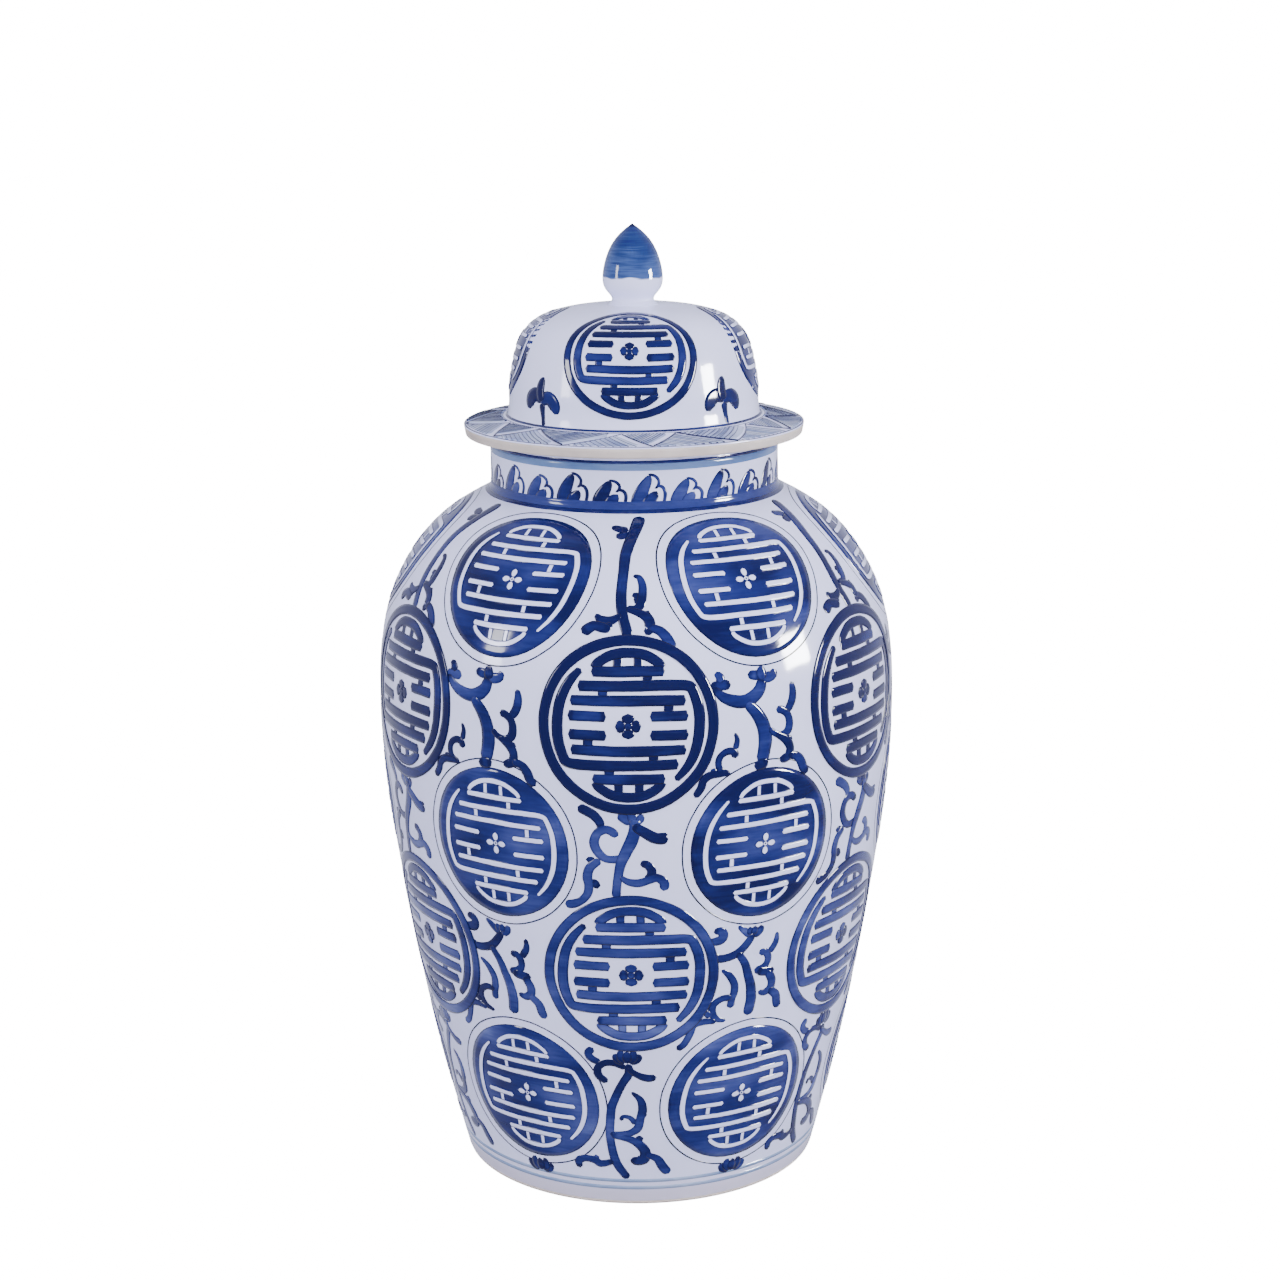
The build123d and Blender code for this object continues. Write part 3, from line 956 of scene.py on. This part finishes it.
def finial_colour(tree, place):
    """White below the swell and cobalt above it, dragged on in level brush lines."""
    x, y, z = tree.parts(place)
    height = z / MM
    level_lines = tree.noise(tree.vector(x * 0.06, y * 0.06, z), 1.0 * MM, 2.0)["Fac"]
    clouds = tree.noise(tree.vector(x * 0.5, y * 0.5, z), 9 * MM, 2.0)["Fac"]
    ragged = tree.noise(place, 14 * MM, 2.0)["Fac"]
    line_height = height + (ragged - 0.5) * 5 + (level_lines - 0.5) * 1.2
    painted_above = line_height.step_up(FINIAL_PAINT_FOOT - 0.5, FINIAL_PAINT_FOOT + 0.5)
    load = (clouds - 0.5) * 0.9 + (level_lines - 0.5) * 1.1 + height.step_up(496, 545) * 0.9
    thin = blended(tree, load.step_up(0.0, 0.5), FINIAL_THIN, FINIAL_BLUE)
    blue = blended(tree, load.step_up(0.45, 1.0), thin, COBALT_FULL)
    blue = blended(tree, height.step_up(FINIAL_TIP - 2.5, FINIAL_TIP - 1.0), blue, COBALT_LINE)
    return blended(tree, painted_above, porcelain_colour(tree, place), blue)


# ---------------------------------------------------------------- pieces

porcelain = glazed("porcelain_glaze", 0.09, porcelain_colour)
cobalt = make_cobalt("cobalt_brushwork", 0.74, outlined=0.45)
cobalt_soft = make_cobalt("cobalt_thin_brushwork", 0.62, outlined=0.40)
cobalt_dark = make_cobalt("cobalt_lines", 0.95)
reserve = glazed("reserved_white", 0.06, reserve_colour)
pale_wash = glazed("pale_wash", 0.07, pale_wash_colour)
dark_band = make_band("cobalt_band", COBALT_DEEP, COBALT_FULL)
dark_line = make_band("dark_line", COBALT_LINE, COBALT_FULL)
blue_band = make_band("blue_cobalt_band", COBALT_FULL, COBALT_MIDDLE)
pale_band = make_band("pale_cobalt_band", NECK_WASH_FULL, NECK_WASH_THIN)
foot_band = make_band("foot_line_wash", FOOT_LINE_FULL, FOOT_LINE_THIN)
bare_clay = make_bare_clay()
finial_glaze = glazed("finial_glaze", 0.05, finial_colour)

wheel = wheel_group()
brush = brush_group()


def turned(name, section, paint, body, slot, *nodes):
    """A piece turned on the wheel, standing for CAD nodes."""
    carrier = profile_curve(name + "_section", section)
    values = {"Section": carrier, "Facets": WHEEL_FACETS, "Paint": paint}
    blank = placed(name + "_blank", bpy.data.meshes.new(name + "_blank"))
    piece = made_piece(name, wheel, blank, values)
    bpy.data.objects.remove(blank)
    bpy.data.objects.remove(carrier)
    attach(piece, body)
    if nodes:
        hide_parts(*nodes)


turned("jar_glaze", jar_section, porcelain, "jar", "glazed_porcelain",
       "lower_body", "upper_body", "neck_collar")
turned("foot_ring_clay", foot_section, bare_clay, "jar", "bare_clay", "base")
turned("neck_rim_clay", rim_section, bare_clay, "jar", "bare_clay")
turned("lid_glaze", lid_section, porcelain, "lid", "glazed_porcelain", "lid_cover")
turned("lid_flange_clay", flange_section, bare_clay, "lid", "bare_clay")
turned("lid_ring_clay", ring_section, bare_clay, "lid", "bare_clay", "lid_locating_ring")
turned("finial_bud", finial_section, finial_glaze, "lid", "glazed_porcelain", "finial")

jar_profile = profile_curve("jar_profile", jar_outside)
lid_profile = profile_curve("lid_profile", lid_outside)
PAINT_TURN = math.radians(-1.7)  # the painting's front is turned this far from the frame's


def painted(name, marks, body, paint, seed, first_turn=0.0, row=0.0, copies=6, waver=1.1, tip=1.0, lift=0.06,
            fine=1.0, across=5, taper=0.0):
    """Brushwork laid around the jar or its lid.

    Row is the length up the profile where the drawing's own zero lies. Fine is the length of a step along
    a mark, and across the number of points over its width. With a taper of 1 a drawing narrows with the
    surface, and with 0 it keeps its width.
    """
    carrier = drawing(name + "_drawing", marks)
    values = {
        "Profile": jar_profile if body == "jar" else lid_profile,
        "Row": row * MM,
        "Copies": copies,
        "First turn": PAINT_TURN + math.radians(first_turn),
        "Taper": taper,
        "Lift": lift * MM,
        "Stroke length": fine * MM,
        "Points across": across,
        "Tip": tip,
        "Waver": waver * MM,
        "Seed": seed,
        "Paint": paint,
    }
    piece = made_piece(name, brush, carrier, values)
    bpy.data.objects.remove(carrier)
    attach(piece, body)


ROW_ARCS = (366.0, 292.0, 222.0, 150.7, 69.5)  # roundel middles, as lengths up the profile from the foot
ROW_DEPTHS = (0.72, 0.96, 0.66, 0.54, 0.54)  # how much cobalt the brush held in each row
GROUND_RADIUS = 42.4
roundel = lattice_roundel()
drawn_roundel = moved(roundel, press=1.1) + [ring_mark(44.7, 2.9, 24)]  # blue on white
disc = [ring_mark(GROUND_RADIUS / 2, GROUND_RADIUS / 2, 48)]
reserved = moved(roundel, size=0.92, press=0.70)  # white left in the disc
thin_circle = [ring_mark(46.8, 0.4, 24)]

for number, (arc, depth) in enumerate(zip(ROW_ARCS, ROW_DEPTHS, strict=True), start=1):
    row = {"body": "jar", "row": arc, "seed": number}
    wash = make_cobalt(f"cobalt_row_{number}", depth)
    if number % 2 == 0:
        painted(f"roundel_{number}", drawn_roundel, paint=wash, tip=0.2, **row)
        continue
    row["first_turn"] = 30
    painted(f"roundel_ground_{number}", disc, paint=wash, fine=2.4, across=15, waver=0.9, **row)
    painted(f"roundel_reserve_{number}", reserved, paint=reserve, lift=0.12, tip=0.3, **row)
    painted(f"roundel_circle_{number}", thin_circle, paint=cobalt_dark, fine=2.0, across=3, **row)

SCROLL_PRESS = 1.32
scrolls = (
    ("neck_scroll", NECK_SCROLL, cobalt, 0),
    ("upper_scroll", UPPER_SCROLL, cobalt, 30),
    ("middle_scroll", MIDDLE_SCROLL, cobalt_soft, 0),
    ("lower_scroll", LOWER_SCROLL, cobalt_soft, 30),
    ("foot_scroll", FOOT_SCROLL, cobalt_soft, 0),
)
for seed, (name, marks, paint, first_turn) in enumerate(scrolls, start=11):
    painted(name, moved(marks, press=SCROLL_PRESS), "jar", paint, first_turn=first_turn, seed=seed)
painted("foot_buds", moved(FOOT_BUD, press=1.2), "jar", cobalt_soft, first_turn=30, seed=16)

FLAME_ROW = 419.4
FLAME_PITCH = 20.9
neck_flames = moved(flame_marks(1.0)) + moved(flame_marks(0.84), across=FLAME_PITCH)
painted("neck_flames", neck_flames, "jar", cobalt_soft, row=FLAME_ROW, copies=12, waver=1.0, seed=17)


def band(name, outside, start, end, paint, body, lift=0.05):
    """A level line right around the jar or its lid, between two lengths up the outside."""
    face = stretch(outside, start, end)
    way = np.gradient(face, axis=0)
    out = np.stack([way[:, 1], -way[:, 0]], axis=1) / np.hypot(*way.T)[:, None]
    back = (face - out * INLAY_DEPTH / MM)[::-1]
    front = face + out * lift
    section = np.concatenate([front, back, front[:1]])
    turned(name, section, paint, body, "glazed_porcelain")


neck_corner = along(body_line)[-1]
rim_arc = along(jar_outside)[-1]
band("neck_base_line", jar_outside, neck_corner - 3.6, neck_corner - 0.9, dark_band, "jar", 0.26)
band("neck_base_band", jar_outside, neck_corner - 1.4, neck_corner + 3.8, blue_band, "jar", 0.22)
band("neck_top_line", jar_outside, rim_arc - 3.4, rim_arc - 1.8, dark_band, "jar")
band("neck_top_wash", jar_outside, rim_arc - 7.2, rim_arc - 3.4, pale_band, "jar")
band("foot_line_upper", jar_outside, 15.6, 17.9, foot_band, "jar")
band("foot_line_lower", jar_outside, 10.7, 13.1, foot_band, "jar")

flange_arc = along(straight_run((FLANGE_RADIUS, FLANGE_EDGE_TOP), (DOME_RADIUS, DOME_BASE)))[-1]
band("dome_base_line", lid_outside, flange_arc - 0.6, flange_arc + 1.0, dark_line, "lid", 0.12)
band("flange_edge_line", lid_outside, 0.9, 1.7, dark_line, "lid", 0.08)
band("flange_inner_line", lid_outside, flange_arc - 2.4, flange_arc - 1.9, dark_line, "lid", 0.08)


FOLDS = (0, 0.31, 0.5, 0.69, 1, 1.31)  # where the flange's line turns, as parts of one repeat
FOLD_BRUSH = 0.42
HATCH_BRUSH = 0.18
WHITE_STRIP = 6.0
WASHES = 9


def flange_pattern(reach, pitch):
    """One repeat of the flange's border, as its lines and its washes.

    A line folds to and fro, a white strip follows its left side, and the fields left over are hatched.
    """
    lines = []
    washes = []
    for i in range(4):
        start, turn, after = (pitch * part for part in FOLDS[i : i + 3])
        base = reach if i % 2 else -reach
        lines.append(mark((start, base * 0.97, FOLD_BRUSH), (turn, -base, FOLD_BRUSH)))
        wide = after - WHITE_STRIP - start
        point = 1 - WHITE_STRIP / (after - start)  # how far up the fold the field's point lies
        hatching = (lines, 12 if i % 2 else 10, HATCH_BRUSH)
        for kind, count, brush_size in ((washes, WASHES, wide / (2 * WASHES - 1)), hatching):
            for k in range(count):
                part = (k + 1) / (count + 0.5)
                foot = (start + wide * part, base * (1 - 0.5 * brush_size / reach), brush_size)
                head = (start + (turn - start) * point * part, base * (1 - 2 * point * part), brush_size)
                kind.append(mark(foot, head))
    return lines, washes


FLANGE_REPEATS = 6
FLANGE_BORDER = (1.9, flange_arc - 2.9)
flange_middle = sum(FLANGE_BORDER) / 2
flange_reach = (FLANGE_BORDER[1] - FLANGE_BORDER[0]) / 2
flange_radius = np.interp(flange_middle, along(lid_outside), lid_outside[:, 0])
flange_lines, flange_washes = flange_pattern(flange_reach, FULL_TURN * flange_radius / FLANGE_REPEATS)
flange = {"body": "lid", "row": flange_middle, "copies": FLANGE_REPEATS, "first_turn": -22, "taper": 1.0,
          "waver": 0.5, "seed": 31}
painted("flange_washes", flange_washes, paint=pale_wash, tip=0.1, **flange)
painted("flange_lines", flange_lines, paint=cobalt_dark, lift=0.13, across=3, **flange)

LID_SIZE = 0.8  # of a roundel on the lid to one on the jar
cobalt_lid = make_cobalt("cobalt_lid_roundels", 0.86)
drawn_on_lid = moved(roundel, size=0.95 * LID_SIZE, press=1.12) + [ring_mark(34.6, 2.1, 24)]
dome = {"body": "lid", "row": 68, "copies": 2, "taper": 1.0}
painted("lid_roundels", drawn_on_lid, paint=cobalt_lid, tip=0.3, seed=21, **dome)
dome.update(first_turn=90, seed=22)
painted("lid_grounds", moved(disc, size=LID_SIZE), paint=cobalt, fine=2.2, across=13, **dome)
painted("lid_reserves", moved(reserved, size=LID_SIZE), paint=reserve, lift=0.12, tip=0.3, **dome)
painted("lid_sprigs", LID_SPRIG, "lid", cobalt_lid, row=27, copies=4, first_turn=46, taper=1.0, seed=23)


# ---------------------------------------------------------------- floor, lights and camera

STUDIO_WALL = 9.0  # radius of the studio's round wall
STUDIO_CORNER = 4.0  # radius of the sweep from floor to wall
STUDIO_MIDDLE = 2.0  # radius of the flat disc that the jar stands on
STUDIO_TOP = 12.0
STUDIO_SIDES = 64
STUDIO_GLOW = 16.0
SKY_IN_FRONT = (0.29, 0.30, 0.43, 1)
SKY_BEHIND = (0.84, 0.86, 1.12, 1)
COOL_LIGHT = (0.87, 0.89, 1.0)
LIT_HEIGHT = 0.3  # the height on the jar's axis that the lights face
CAMERA_PLACE = (0.0023, -1.4601, 0.65135)
CAMERA_LENS = 74.52
CAMERA_DIP = 0.237  # radians below level
CAMERA_ROLL = math.radians(-0.5)


def make_studio():
    """A pale floor that sweeps up into a round wall. It is seen, but sends no light back to the jar."""
    sweep = [(STUDIO_WALL - STUDIO_CORNER * (1 - math.sin(a)), STUDIO_CORNER * (1 - math.cos(a)))
             for a in np.linspace(0, math.pi / 2, 12)]
    rings = [(STUDIO_MIDDLE, 0.0)] + sweep + [(STUDIO_WALL, STUDIO_TOP)]
    turns = [FULL_TURN * i / STUDIO_SIDES for i in range(STUDIO_SIDES)]
    corners = [(r * math.cos(a), r * math.sin(a), z) for r, z in rings for a in turns]
    faces = [tuple(range(STUDIO_SIDES))]
    for ring in range(len(rings) - 1):
        low, high = ring * STUDIO_SIDES, (ring + 1) * STUDIO_SIDES
        for i in range(STUDIO_SIDES):
            after = (i + 1) % STUDIO_SIDES
            faces.append((low + i, high + i, high + after, low + after))
    mesh = bpy.data.meshes.new("studio")
    mesh.from_pydata(corners, [], faces)
    mesh.shade_smooth()
    studio = placed("studio", mesh)
    studio.visible_diffuse = False
    studio.visible_glossy = False
    studio.visible_shadow = False
    material = bpy.data.materials.new("pale_floor")
    material.use_nodes = True
    shader = next(node for node in material.node_tree.nodes if node.type == "BSDF_PRINCIPLED")
    shader.inputs["Base Color"].default_value = (0.9, 0.9, 0.9, 1)
    shader.inputs["Roughness"].default_value = 0.9
    shader.inputs["Specular IOR Level"].default_value = 0.0
    shader.inputs["Emission Color"].default_value = (1, 1, 1, 1)
    shader.inputs["Emission Strength"].default_value = STUDIO_GLOW
    mesh.materials.append(material)


def make_world():
    """Soft light from all round, brighter behind the jar."""
    world = bpy.data.worlds.new("studio_light")
    bpy.context.scene.world = world
    world.use_nodes = True
    tree = Tree(world.node_tree)
    sky = next(node for node in world.node_tree.nodes if node.type == "BACKGROUND")
    _, back, _ = tree.parts(tree.node("ShaderNodeTexCoord")["Generated"])
    behind = back.step_up(-0.3, 0.9)
    tree.feed(sky.inputs["Color"], blended(tree, behind, SKY_IN_FRONT, SKY_BEHIND))


def softbox(name, turn, rise, distance, wide, high, power, mirrored=False):
    """A soft light. Turn is in degrees from the front, to the right, and rise in degrees above level.

    A mirrored one only makes a highlight in the glaze, and the others only light it.
    """
    light = bpy.data.lights.new(name, "AREA")
    light.shape = "RECTANGLE"
    light.size = wide
    light.size_y = high
    light.energy = power
    light.color = (1, 1, 1) if mirrored else COOL_LIGHT
    lamp = placed(name, light)
    turn = math.radians(turn)
    rise = math.radians(rise)
    away = Vector((math.sin(turn) * math.cos(rise), -math.cos(turn) * math.cos(rise), math.sin(rise)))
    lamp.location = Vector((0, 0, LIT_HEIGHT)) + away * distance
    lamp.rotation_euler = away.to_track_quat("Z", "Y").to_euler()
    lamp.visible_glossy = mirrored
    lamp.visible_diffuse = not mirrored


def make_camera():
    camera = bpy.data.cameras.new("camera")
    camera.sensor_width = 36.0
    camera.lens = CAMERA_LENS
    view = placed("camera", camera)
    view.location = CAMERA_PLACE
    tilt = Matrix.Rotation(math.radians(90) - CAMERA_DIP, 4, "X")
    view.rotation_euler = (tilt @ Matrix.Rotation(CAMERA_ROLL, 4, "Z")).to_euler()
    bpy.context.scene.camera = view


make_studio()
make_world()
softbox("right_glint", 73, 10, 1.8, 0.42, 0.5, 110, mirrored=True)
softbox("left_glint", -64, 15, 1.8, 0.3, 0.6, 12, mirrored=True)
softbox("right_box", 70, 20, 1.9, 0.9, 0.9, 38)
softbox("left_box", -68, 22, 1.9, 0.9, 0.9, 24)
softbox("front_fill", 5, 7, 3.0, 2.0, 1.6, 107)
softbox("top_fill", 0, 68, 2.4, 1.2, 1.2, 30)
make_camera()

for spare in (jar_profile, lid_profile):
    bpy.data.objects.remove(spare)
